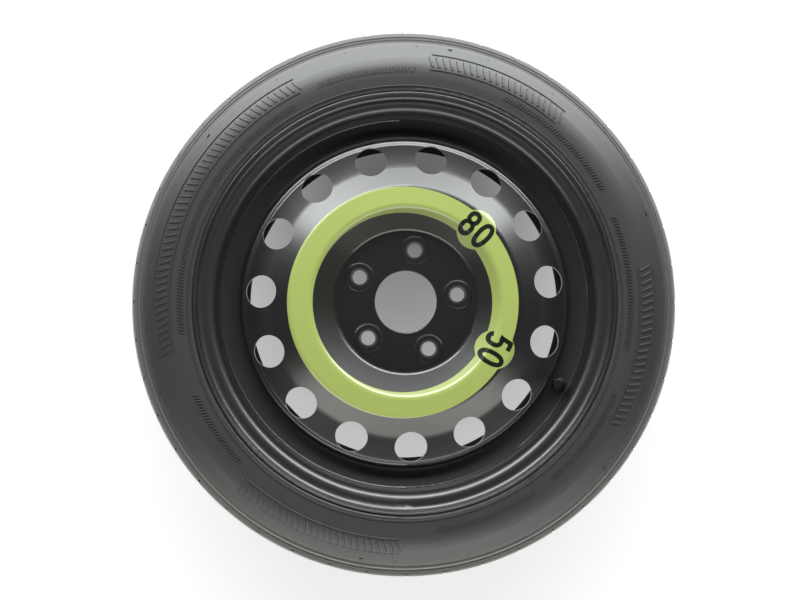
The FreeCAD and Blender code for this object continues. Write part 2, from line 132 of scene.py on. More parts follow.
class WheelPaint(bpy.types.PropertyGroup):
    """Sizes and colours of the wheel's paint and markings."""

    body_colour: FloatVectorProperty(
        name="Disc paint", description="Gloss black of the disc",
        subtype="COLOR", size=4, default=(0.017, 0.017, 0.018, 1.0),
    )
    rim_colour: FloatVectorProperty(
        name="Rim paint", description="Thinner black of the rim and welds",
        subtype="COLOR", size=4, default=(0.028, 0.028, 0.029, 1.0),
    )
    primer_colour: FloatVectorProperty(
        name="Primer", description="Dull grey inside the disc's flange",
        subtype="COLOR", size=4, default=(0.05, 0.05, 0.05, 1.0),
    )
    ring_colour: FloatVectorProperty(
        name="Ring paint", description="Yellow-green of the speed ring",
        subtype="COLOR", size=4, default=(0.57, 0.70, 0.185, 1.0),
    )
    number_colour: FloatVectorProperty(
        name="Number paint", description="Near black of the speed numbers",
        subtype="COLOR", size=4, default=(0.010, 0.018, 0.010, 1.0),
    )
    primer_level: FloatProperty(
        name="Primer level", description="Below this the flange has dull primer inside",
        unit="LENGTH", default=-0.022,
    )
    ring_inner: FloatProperty(
        name="Ring inner radius", description="Inner edge of the painted ring",
        unit="LENGTH", default=0.0929,
    )
    ring_outer: FloatProperty(
        name="Ring outer radius", description="Outer edge of the painted ring",
        unit="LENGTH", default=0.1192,
    )
    ring_centre: FloatVectorProperty(
        name="Ring centre", description="The ring is painted slightly off the axis",
        unit="LENGTH", size=2, default=(-0.0034, -0.0008),
    )
    ring_level: FloatProperty(
        name="Ring level", description="The ring's paint stays above this height",
        unit="LENGTH", default=0.0045,
    )
    spot_radius: FloatProperty(
        name="Spot radius", description="Round field behind each number",
        unit="LENGTH", default=0.0202,
    )
    spot_reach: FloatProperty(
        name="Spot distance", description="From the wheel axis to each spot's centre",
        unit="LENGTH", default=0.104,
    )
    metric_angle: FloatProperty(
        name="Upper number angle", description="Direction of the first number",
        subtype="ANGLE", default=math.radians(45.7),
    )
    miles_angle: FloatProperty(
        name="Lower number angle", description="Direction of the second number",
        subtype="ANGLE", default=math.radians(-28.6),
    )
    metric_text: StringProperty(name="Upper number", description="First speed number", default="80")
    miles_text: StringProperty(name="Lower number", description="Second speed number", default="50")
    number_height: FloatProperty(
        name="Number height", description="Height of the painted digits",
        unit="LENGTH", default=0.0284,
    )
    number_width: FloatProperty(
        name="Number width", description="Width of each pair of digits",
        unit="LENGTH", default=0.0342,
    )
    number_pitch: FloatProperty(
        name="Number pitch", description="From one digit's middle to the next",
        unit="LENGTH", default=0.0186,
    )
    number_stroke: FloatProperty(
        name="Number stroke", description="Width of the painted strokes",
        unit="LENGTH", default=0.0047,
    )
    number_lift: FloatProperty(
        name="Number lift", description="Thickness of the digits' paint",
        unit="LENGTH", default=0.00012,
    )


class TyreFinish(bpy.types.PropertyGroup):
    """Sizes and colours of the tyre's rubber and moulded marks."""

    rubber_colour: FloatVectorProperty(
        name="Rubber", description="Charcoal of the sidewall",
        subtype="COLOR", size=4, default=(0.062, 0.062, 0.063, 1.0),
    )
    # The shoulder colour and its band are a painted sheen: lighter grey standing in for light reflected at
    # grazing angles on the shoulders.
    shoulder_sheen_colour: FloatVectorProperty(
        name="Shoulder", description="Sheened grey of the shoulders",
        subtype="COLOR", size=4, default=(0.190, 0.190, 0.182, 1.0),
    )
    sheen_inner: FloatVectorProperty(
        name="Sheen inside", description="Radii where the dust starts and where it is full",
        unit="LENGTH", size=2, default=(0.268, 0.281),
    )
    sheen_outer: FloatVectorProperty(
        name="Sheen outside", description="Radii between which the dust thins towards the tread",
        unit="LENGTH", size=2, default=(0.2855, 0.2875),
    )
    tread_sheen: FloatProperty(
        name="Tread dust", description="Share of the dust that stays on the tread",
        subtype="FACTOR", default=0.25,
    )
    mark_height: FloatProperty(
        name="Mark height", description="How far moulded marks stand out",
        unit="LENGTH", default=0.0013,
    )
    rule_width: FloatProperty(
        name="Rule width", description="Width of the thin moulded rules",
        unit="LENGTH", default=0.0018,
    )
    rule_gap: FloatProperty(
        name="Rule gap", description="From a panel's ribs to the rules beside them",
        unit="LENGTH", default=0.0016,
    )
    panel_radius: FloatProperty(
        name="Panel radius", description="Middle of the ribbed panels",
        unit="LENGTH", default=0.2525,
    )
    panel_depth: FloatProperty(
        name="Panel depth", description="Length of each rib",
        unit="LENGTH", default=0.0135,
    )
    rib_width: FloatProperty(
        name="Rib width", description="Width of each rib at its foot",
        unit="LENGTH", default=0.0036,
    )
    rib_pitch: FloatProperty(
        name="Rib pitch", description="Angle from rib to rib",
        subtype="ANGLE", default=math.radians(1.6),
    )
    rib_lean: FloatProperty(
        name="Rib lean", description="Angle between a rib and the radius",
        subtype="ANGLE", default=math.radians(22),
    )
    fine_rib: FloatVectorProperty(
        name="Fine rib", description="Length and width of the finer ribs",
        unit="LENGTH", size=2, default=(0.0066, 0.0020),
    )
    fine_height: FloatProperty(
        name="Fine rib height", description="Share of the mark height that finer ribs have",
        subtype="FACTOR", default=0.8,
    )
    pip_count: IntProperty(
        name="Vent pips", description="Small stubs left by the mould's vents, on each circle",
        default=22, min=3,
    )
    pip_size: FloatVectorProperty(
        name="Pip size", description="Diameter and height of a vent pip, half of it sunk",
        unit="LENGTH", size=2, default=(0.0016, 0.0012),
    )
    pointer_size: FloatProperty(
        name="Pointer size", description="Diameter of the circle round a wear pointer",
        unit="LENGTH", default=0.0052,
    )


class ValveFinish(bpy.types.PropertyGroup):
    """Colours of the valve."""

    rubber_colour: FloatVectorProperty(
        name="Stem rubber", description="Black of the stem and seals",
        subtype="COLOR", size=4, default=(0.016, 0.016, 0.017, 1.0),
    )
    brass_colour: FloatVectorProperty(
        name="Brass", description="Turned brass of the insert and core",
        subtype="COLOR", size=4, default=(0.72, 0.50, 0.22, 1.0),
    )
    gasket_colour: FloatVectorProperty(
        name="Gasket", description="Red of the core's sealing ring",
        subtype="COLOR", size=4, default=(0.55, 0.05, 0.03, 1.0),
    )
    cap_colour: FloatVectorProperty(
        name="Cap", description="Black of the screw cap",
        subtype="COLOR", size=4, default=(0.014, 0.014, 0.015, 1.0),
    )
    wire_colour: FloatVectorProperty(
        name="Spring wire", description="Bright wire of the core's spring",
        subtype="COLOR", size=4, default=(0.6, 0.6, 0.6, 1.0),
    )


class StudioStage(bpy.types.PropertyGroup):
    """Camera, lamps, room and floor."""

    camera_distance: FloatProperty(
        name="Camera distance", description="From the camera to the aim point",
        unit="LENGTH", default=0.9,
    )
    camera_tilt: FloatVectorProperty(
        name="Camera tilt", description="Lean of the view towards -Y and towards X",
        subtype="EULER", size=2, default=(math.radians(2.01), math.radians(-1.4)),
    )
    aim: FloatVectorProperty(
        name="Aim point", description="Point in the middle of the picture",
        unit="LENGTH", size=3, default=(-0.00626, 0.00167, 0.010),
    )
    lens: FloatProperty(name="Lens", description="Focal length on a 36 mm sensor", default=38.76)
    floor_colour: FloatVectorProperty(
        name="Floor", description="Pale floor", subtype="COLOR", size=4, default=(0.7, 0.7, 0.7, 1.0),
    )
    floor_radius: FloatProperty(
        name="Floor radius", description="Reach of the round floor", unit="LENGTH", default=12.0,
    )
    lamp_reach: FloatProperty(
        name="Lamp distance", description="From the wheel axis to each lamp, along Y",
        unit="LENGTH", default=1.07,
    )
    lamp_height: FloatProperty(
        name="Lamp height", description="Height of the lamps", unit="LENGTH", default=0.82,
    )
    lamp_size: FloatVectorProperty(
        name="Lamp size", description="Width and depth of each lamp",
        unit="LENGTH", size=2, default=(2.8, 0.62),
    )
    top_power: FloatProperty(
        name="Top lamp", description="Power of the lamp beyond the wheel", unit="POWER", default=28.0,
    )
    top_colour: FloatVectorProperty(
        name="Top lamp colour", description="Slightly cool white",
        subtype="COLOR", size=3, default=(0.97, 1.0, 1.0),
    )
    low_power: FloatProperty(
        name="Low lamp", description="Power of the lamp on the near side", unit="POWER", default=9.6,
    )
    low_colour: FloatVectorProperty(
        name="Low lamp colour", description="Slightly warm white",
        subtype="COLOR", size=3, default=(1.0, 0.98, 0.93),
    )
    horizon: FloatProperty(name="Horizon", description="Brightness of the room's far wall", default=1.0)
    side_wall: FloatProperty(
        name="Side walls", description="Share of the far wall's light that the others give",
        subtype="FACTOR", default=0.12,
    )
    zenith: FloatProperty(name="Zenith", description="Brightness of the room's ceiling", default=0.075)
    wall_top: FloatProperty(
        name="Wall top", description="Height of a unit direction where the walls have become the ceiling",
        default=0.75,
    )
    # The floor's glow carries a painted shadow: it is dimmer under the wheel, darkest off the hub towards
    # the upper vents, and brightens outward.
    painted_shadow_glow: FloatProperty(
        name="Glow under the hub", description="How white the floor looks under the upper vents",
        default=0.10,
    )
    glow_round: FloatProperty(
        name="Glow round the tyre", description="How white the floor looks beyond the tyre",
        default=0.62,
    )
    painted_shadow_edge_share: FloatProperty(
        name="Glow under the vents", description="Share of the outer glow under the lower vents",
        subtype="FACTOR", default=0.85,
    )
    painted_shadow_centre: FloatVectorProperty(
        name="Glow centre", description="Darkest point of the floor under the wheel",
        unit="LENGTH", size=2, default=(0.0, 0.12),
    )
    painted_shadow_stretch: FloatProperty(
        name="Glow stretch", description="Share at which distances along Y count under the wheel",
        subtype="FACTOR", default=0.75,
    )
    painted_shadow_reach: FloatVectorProperty(
        name="Glow reach", description="Distances between which the floor under the wheel brightens",
        unit="LENGTH", size=2, default=(0.03, 0.28),
    )
    # Painted contact shadow: the glow fades to nothing on the floor next to the tyre.
    contact_shadow_reach: FloatVectorProperty(
        name="Tyre reach", description="Radii between which the floor under the tyre brightens",
        unit="LENGTH", size=2, default=(0.24, 0.30),
    )


def add(tree, kind, **settings):
    """A node with its plain settings."""
    node = tree.nodes.new(kind)
    for key, value in settings.items():
        setattr(node, key, value)
    return node


def maths(tree, operation, first, second=None, clamp=False):
    """A Math node fed by sockets or numbers, as its output socket."""
    node = add(tree, "ShaderNodeMath", operation=operation, use_clamp=clamp)
    for index, value in enumerate((first, second)):
        if value is None:
            continue
        if isinstance(value, (int, float)):
            node.inputs[index].default_value = value
        else:
            tree.links.new(value, node.inputs[index])
    return node.outputs[0]


def ramp(tree, value, start, end):
    """A clamped smooth ramp between two limits."""
    node = add(tree, "ShaderNodeMapRange", interpolation_type="SMOOTHSTEP")
    tree.links.new(value, node.inputs["Value"])
    node.inputs["From Min"].default_value, node.inputs["From Max"].default_value = start
    node.inputs["To Min"].default_value, node.inputs["To Max"].default_value = end
    return node.outputs["Result"]


def xyz(tree, vector):
    """The X, Y and Z sockets of a vector socket."""
    node = add(tree, "ShaderNodeSeparateXYZ")
    tree.links.new(vector, node.inputs[0])
    return node.outputs


def place_on_object(tree):
    """The socket of the Object coordinates."""
    return add(tree, "ShaderNodeTexCoord").outputs["Object"]


def disc_distance(tree, x, y, stretch=1.0):
    """Distance in plan from the point (x, y) on Object coordinates, with Y counted at a share."""
    flat = add(tree, "ShaderNodeVectorMath", operation="MULTIPLY_ADD")
    flat.inputs[1].default_value = (1.0, stretch, 0.0)
    flat.inputs[2].default_value = (-x, -y * stretch, 0.0)
    tree.links.new(place_on_object(tree), flat.inputs[0])
    length = add(tree, "ShaderNodeVectorMath", operation="LENGTH")
    tree.links.new(flat.outputs[0], length.inputs[0])
    return length.outputs["Value"]


def within(tree, distance, limit):
    """1 inside a distance, 0 outside, with a soft paint edge."""
    gap = maths(tree, "SUBTRACT", limit, distance)
    return maths(tree, "DIVIDE", maths(tree, "ADD", gap, PAINT_EDGE), 2 * PAINT_EDGE, clamp=True)


def shader_of(material):
    """A material's Principled shader."""
    return material.node_tree.nodes["Principled BSDF"]


def new_material(name, colour, surface):
    """A node material with a base colour and the named inputs of a finish."""
    material = bpy.data.materials.new(name)
    material.use_nodes = True
    inputs = shader_of(material).inputs
    inputs["Base Color"].default_value = colour
    for key, value in surface.items():
        inputs[key].default_value = value
    return material


def grain(material, scale, strength):
    """Gives a material a fine bump on Object coordinates."""
    tree = material.node_tree
    noise = add(tree, "ShaderNodeTexNoise")
    noise.inputs["Scale"].default_value = scale
    noise.inputs["Detail"].default_value = GRAIN_DETAIL
    bump = add(tree, "ShaderNodeBump")
    bump.inputs["Strength"].default_value = strength
    bump.inputs["Distance"].default_value = GRAIN_DEPTH
    tree.links.new(place_on_object(tree), noise.inputs["Vector"])
    tree.links.new(noise.outputs["Fac"], bump.inputs["Height"])
    tree.links.new(bump.outputs["Normal"], shader_of(material).inputs["Normal"])


def blend_colour(material, share, first, second):
    """Gives a material a base colour that goes from one colour to another."""
    tree = material.node_tree
    mix = add(tree, "ShaderNodeMix", data_type="RGBA")
    mix.inputs["A"].default_value = first
    mix.inputs["B"].default_value = second
    tree.links.new(share, mix.inputs["Factor"])
    tree.links.new(mix.outputs["Result"], shader_of(material).inputs["Base Color"])


def wear_material(node, material):
    """Puts one material on a CAD node."""
    mesh = NODES[node].data
    mesh.materials.clear()
    mesh.materials.append(material)


def add_piece(context, name, mesh):
    """A new object of the scene for a finished mesh."""
    piece = bpy.data.objects.new(name, mesh)
    context.scene.collection.objects.link(piece)
    return piece


def surface_of(node):
    """A search tree over a CAD node's surface."""
    mesh = NODES[node].data
    points = [vertex.co.copy() for vertex in mesh.vertices]
    return BVHTree.FromPolygons(points, [face.vertices[:] for face in mesh.polygons])


def press_on(mesh, skin, down, lift=0.0):
    """Moves a flat mesh along Z on to a surface, where each point keeps its height."""
    low, high = CAD_BOX
    start = low.z - DROP_CLEARANCE if down > 0 else high.z + DROP_CLEARANCE
    way = Vector((0, 0, down))
    for vertex in mesh.vertices:
        hit, normal = skin.ray_cast(Vector((vertex.co.x, vertex.co.y, start)), way)[:2]
        if hit is None:
            raise RuntimeError("no surface under " + mesh.name)
        outward = -normal if normal.z * down > 0 else normal
        vertex.co = hit + outward * (lift + vertex.co.z)


def spot_centre(paint, angle):
    """Where a number's round field is centred."""
    return paint.spot_reach * math.cos(angle), paint.spot_reach * math.sin(angle)


def ring_mask(tree, paint):
    """1 on the painted ring and its two round fields."""
    from_ring = disc_distance(tree, *paint.ring_centre)
    outside_bore = maths(tree, "SUBTRACT", 1.0, within(tree, from_ring, paint.ring_inner))
    mask = maths(tree, "MULTIPLY", within(tree, from_ring, paint.ring_outer), outside_bore)
    for angle in (paint.metric_angle, paint.miles_angle):
        from_spot = disc_distance(tree, *spot_centre(paint, angle))
        mask = maths(tree, "MAXIMUM", mask, within(tree, from_spot, paint.spot_radius))
    height = xyz(tree, place_on_object(tree))["Z"]
    return maths(tree, "MULTIPLY", mask, maths(tree, "GREATER_THAN", height, paint.ring_level))


def steel_paint(name, colour, surface):
    """Paint with a fine grain over pressed steel."""
    material = new_material(name, colour, surface)
    grain(material, *PAINT_GRAIN)
    return material


class SPAREWHEEL_OT_paint_wheel(bpy.types.Operator):
    """Paint the rim and welds black, and the disc black with its bright ring"""

    bl_idname = "sparewheel.paint_wheel"
    bl_label = "Paint wheel"

    def execute(self, context):
        paint = context.scene.spare_wheel_paint
        black = steel_paint("gloss_black_paint", paint.rim_colour, RIM_PAINT)
        for node in ("rim", "weld_seams"):
            wear_material(node, black)
        ringed = steel_paint("disc_paint_with_ring", paint.body_colour, DISC_PAINT)
        blend_colour(ringed, ring_mask(ringed.node_tree, paint), paint.body_colour, paint.ring_colour)
        wear_material("wheel_disc", ringed)
        self.prime_flange(paint)
        return {"FINISHED"}

    def prime_flange(self, paint):
        """Dull primer inside the disc's flange, where the gloss paint doesn't reach."""
        mesh = NODES["wheel_disc"].data
        mesh.materials.append(new_material("dull_primer", paint.primer_colour, PRIMER))
        primer_slot = len(mesh.materials) - 1
        for face in mesh.polygons:
            inward = -face.normal.dot(Vector((face.center.x, face.center.y, 0)).normalized())
            if face.center.z < paint.primer_level and inward > FACING_IN:
                face.material_index = primer_slot


def oval(x, y, half_width, half_height, first, last):
    """Points along part of a rounded oval, angles in degrees."""
    steps = int(abs(last - first) / OVAL_STEP)
    power = 2 / OVAL_SQUARENESS
    line = []
    for step in range(steps + 1):
        angle = math.radians(first + (last - first) * step / steps)
        across = math.copysign(abs(math.cos(angle)) ** power, math.cos(angle))
        along = math.copysign(abs(math.sin(angle)) ** power, math.sin(angle))
        line.append((x + half_width * across, y + half_height * along))
    return line


def straight(start, end, steps):
    """Points along a straight line, both ends included."""
    wide, high = end[0] - start[0], end[1] - start[1]
    return [(start[0] + wide * s / steps, start[1] + high * s / steps) for s in range(steps + 1)]


def digit_lines(digit, wide, high):
    """The centre lines of a digit's strokes, each with whether it closes on itself."""
    w, h = wide / 2, high / 2
    whole = (0, 360 - OVAL_STEP)
    if digit == "0":
        return [(oval(0, 0, w, h, *whole), True)]
    if digit == "8":
        head = 0.9 * w
        waist = 0.06 * h
        upper, lower = (h - waist) / 2, (h + waist) / 2
        return [
            (oval(0, h - upper, head, upper, *whole), True),
            (oval(0, lower - h, w, lower, *whole), True),
        ]
    if digit == "5":
        tip, back = 0.85 * w, -0.65 * w
        bowl = 0.58 * h
        turn = oval(0, bowl - h, w, bowl, 140, -150)
        top = straight((tip, h), (back, h), 10)
        stem = straight((back, h), turn[0], 8)
        return [(top + stem[1:] + turn[1:], False)]
    raise RuntimeError("no strokes for the digit " + digit)


def ribbon(points, faces, line, wide, closed):
    """Adds a flat band along a centre line, in strips."""
    first = len(points)
    count = len(line)
    row = STROKE_STRIPS + 1
    for index, (x, y) in enumerate(line):
        before = line[index - 1] if closed else line[max(index - 1, 0)]
        after = line[(index + 1) % count] if closed else line[min(index + 1, count - 1)]
        along = Vector((after[0] - before[0], after[1] - before[1])).normalized()
        ahead = Vector((after[0] - x, after[1] - y)).normalized() if after != (x, y) else along
        corner = 1 / max(along.dot(ahead), MITRE_LIMIT)
        for step in range(row):
            out = (step / STROKE_STRIPS - 0.5) * wide * corner
            points.append((x - along.y * out, y + along.x * out, 0))
    for index in range(count if closed else count - 1):
        here = first + row * index
        there = first + row * ((index + 1) % count)
        faces += [(here + s, there + s, there + s + 1, here + s + 1) for s in range(STROKE_STRIPS)]


class SPAREWHEEL_OT_number_marks(bpy.types.Operator):
    """Lay the two speed numbers on the disc's crown"""

    bl_idname = "sparewheel.number_marks"
    bl_label = "Speed numbers"

    def execute(self, context):
        paint = context.scene.spare_wheel_paint
        material = new_material("number_paint", paint.number_colour, NUMBER_PAINT)
        crown = surface_of("wheel_disc")
        for name, text, angle in (
            ("speed_number_metric", paint.metric_text, paint.metric_angle),
            ("speed_number_miles", paint.miles_text, paint.miles_angle),
        ):
            mesh = self.flat_digits(name, text, paint)
            x, y = spot_centre(paint, angle)
            mesh.transform(Matrix.Translation((x, y, 0)) @ Matrix.Rotation(angle - math.pi / 2, 4, "Z"))
            press_on(mesh, crown, -1, paint.number_lift)
            mesh.materials.append(material)
            piece = add_piece(context, name, mesh)
            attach(piece, WHEEL)
        return {"FINISHED"}

    def flat_digits(self, name, text, paint):
        """A finely divided flat mesh of the digits, centred on the origin."""
        wide = paint.number_width - paint.number_pitch - paint.number_stroke
        high = paint.number_height - paint.number_stroke
        points = []
        faces = []
        for place, digit in enumerate(text):
            middle = (place - (len(text) - 1) / 2) * paint.number_pitch
            for line, closed in digit_lines(digit, wide, high):
                ribbon(points, faces, [(x + middle, y) for x, y in line], paint.number_stroke, closed)
        mesh = bpy.data.meshes.new(name)
        mesh.from_pydata(points, [], faces)
        return mesh


def arc_angle(tree, given):
    """The angle of each repeated mark."""
    steps = maths(tree, "MAXIMUM", maths(tree, "SUBTRACT", given["Count"], 1.0), 1.0)
    share = maths(tree, "DIVIDE", add(tree, "GeometryNodeInputIndex").outputs[0], steps)
    return maths(tree, "ADD", given["Start"], maths(tree, "MULTIPLY", given["Sweep"], share))


def arc_points(tree, given, angle):
    """Points along the arc, one for each mark."""
    line = add(tree, "GeometryNodeMeshLine")
    tree.links.new(given["Count"], line.inputs["Count"])
    line.inputs["Offset"].default_value = (0, 0, 0)
    spot = add(tree, "ShaderNodeCombineXYZ")
    for axis, wave in (("X", "COSINE"), ("Y", "SINE")):
        reach = maths(tree, "MULTIPLY", given["Radius"], maths(tree, wave, angle))
        tree.links.new(reach, spot.inputs[axis])
    place = add(tree, "GeometryNodeSetPosition")
    tree.links.new(line.outputs["Mesh"], place.inputs["Geometry"])
    tree.links.new(spot.outputs[0], place.inputs["Position"])
    return place.outputs["Geometry"]


def tapered_bar(tree, given, size):
    """A bar whose upper edges slope in."""
    link = tree.links.new
    bar = add(tree, "GeometryNodeMeshCube")
    link(given["Bar"], bar.inputs["Size"])
    bar.inputs["Vertices X"].default_value = BAR_POINTS
    corner = add(tree, "GeometryNodeInputPosition").outputs[0]
    side = add(tree, "ShaderNodeVectorMath", operation="SIGN")
    link(corner, side.inputs[0])
    draft = add(tree, "ShaderNodeVectorMath", operation="SCALE")
    link(side.outputs[0], draft.inputs[0])
    link(maths(tree, "MULTIPLY", size["Y"], -BAR_DRAFT), draft.inputs["Scale"])
    level = add(tree, "ShaderNodeVectorMath", operation="MULTIPLY")
    link(draft.outputs[0], level.inputs[0])
    level.inputs[1].default_value = (1, 1, 0)
    slope = add(tree, "GeometryNodeSetPosition")
    link(bar.outputs["Mesh"], slope.inputs["Geometry"])
    link(maths(tree, "GREATER_THAN", xyz(tree, corner)["Z"], 0.0), slope.inputs["Selection"])
    link(level.outputs[0], slope.inputs["Offset"])
    return slope.outputs["Geometry"]


def sided_stub(tree, given, size):
    """An upright stub with three or more sides, as wide as the bar would be long."""
    stub = add(tree, "GeometryNodeMeshCylinder")
    tree.links.new(maths(tree, "MAXIMUM", given["Sides"], 3.0), stub.inputs["Vertices"])
    tree.links.new(maths(tree, "MULTIPLY", size["X"], 0.5), stub.inputs["Radius"])
    tree.links.new(size["Z"], stub.inputs["Depth"])
    return stub.outputs["Mesh"]


def arc_repeat_tree():
    """A node group that repeats a bar, or a stub where it has sides, along an arc about the axis."""
    tree = bpy.data.node_groups.new("arc_repeat", "GeometryNodeTree")
    tree.interface.new_socket("Geometry", in_out="OUTPUT", socket_type="NodeSocketGeometry")
    for name, kind in ARC_INPUTS:
        tree.interface.new_socket(name, in_out="INPUT", socket_type=kind)
    link = tree.links.new
    given = add(tree, "NodeGroupInput").outputs
    angle = arc_angle(tree, given)
    size = xyz(tree, given["Bar"])
    pick = add(tree, "GeometryNodeSwitch", input_type="GEOMETRY")
    link(maths(tree, "GREATER_THAN", given["Sides"], 0.5), pick.inputs["Switch"])
    link(tapered_bar(tree, given, size), pick.inputs["False"])
    link(sided_stub(tree, given, size), pick.inputs["True"])
    turn = add(tree, "ShaderNodeCombineXYZ")
    link(maths(tree, "ADD", angle, given["Lean"]), turn.inputs["Z"])
    facing = add(tree, "FunctionNodeEulerToRotation")
    link(turn.outputs[0], facing.inputs["Euler"])
    repeat = add(tree, "GeometryNodeInstanceOnPoints")
    link(arc_points(tree, given, angle), repeat.inputs["Points"])
    link(pick.outputs["Output"], repeat.inputs["Instance"])
    link(facing.outputs["Rotation"], repeat.inputs["Rotation"])
    real = add(tree, "GeometryNodeRealizeInstances")
    link(repeat.outputs["Instances"], real.inputs["Geometry"])
    dress = add(tree, "GeometryNodeSetMaterial")
    link(real.outputs["Geometry"], dress.inputs["Geometry"])
    link(given["Rubber"], dress.inputs["Material"])
    link(dress.outputs["Geometry"], add(tree, "NodeGroupOutput").inputs["Geometry"])
    return tree


def arc_of_marks(tree, rubber, count, start, sweep, radius, bar, sides=0, lean=0.0):
    """A flat plan of repeated bars or stubs, made by the node group."""
    maker = bpy.data.objects.new("arc_maker", bpy.data.meshes.new("arc_maker"))
    bpy.context.scene.collection.objects.link(maker)
    repeat = maker.modifiers.new("arc_repeat", "NODES")
    repeat.node_group = tree
    values = {
        "Count": count, "Start": start, "Sweep": sweep, "Radius": radius, "Lean": lean,
        "Bar": bar, "Sides": sides, "Rubber": rubber,
    }
    for item in tree.interface.items_tree:
        if item.in_out == "INPUT":
            repeat[item.identifier] = values[item.name]
    bpy.context.view_layer.update()
    made = bpy.data.meshes.new_from_object(maker.evaluated_get(bpy.context.evaluated_depsgraph_get()))
    maker.modifiers.remove(repeat)
    bpy.data.objects.remove(maker)
    return made


def ring_plan(rubber, radius, width, rise, start=0.0, sweep=FULL_TURN):
    """A flat plan of one raised ring or arc with sloping sides."""
    closed = sweep == FULL_TURN
    steps = int(abs(sweep) / RING_STEP)
    section = ((-0.5, -RING_ROOT), (-RING_TOP, rise), (RING_TOP, rise), (0.5, -RING_ROOT))
    corners = len(section)
    points = []
    for step in range(steps if closed else steps + 1):
        angle = start + sweep * step / steps
        for across, height in section:
            reach = radius + across * width
            points.append((reach * math.cos(angle), reach * math.sin(angle), height))
    faces = []
    for step in range(steps):
        here = corners * step
        there = corners * ((step + 1) % steps if closed else step + 1)
        for side in range(corners - 1):
            faces.append((here + side, here + side + 1, there + side + 1, there + side))
    if not closed:
        last = corners * steps
        faces += [tuple(range(corners)), tuple(reversed(range(last, last + corners)))]
    mesh = bpy.data.meshes.new("ring_plan")
    mesh.from_pydata(points, [], faces)
    mesh.materials.append(rubber)
    return mesh


def tyre_rubber(finish):
    """Charcoal rubber with a painted sheen: a lighter band round each shoulder, standing in for light
    reflected there.
    """
    rubber = new_material("tyre_rubber", finish.rubber_colour, TYRE_RUBBER)
    grain(rubber, *RUBBER_GRAIN)
    tree = rubber.node_tree
    # Painted sheen: lighter towards the shoulder, thinning again on the tread
    reach = disc_distance(tree, 0.0, 0.0)
    sheen_rise = ramp(tree, reach, finish.sheen_inner, (0.0, 1.0))
    sheen_fade = ramp(tree, reach, finish.sheen_outer, (1.0, finish.tread_sheen))
    painted_sheen = maths(tree, "MULTIPLY", sheen_rise, sheen_fade)
    blend_colour(rubber, painted_sheen, finish.rubber_colour, finish.shoulder_sheen_colour)
    return rubber


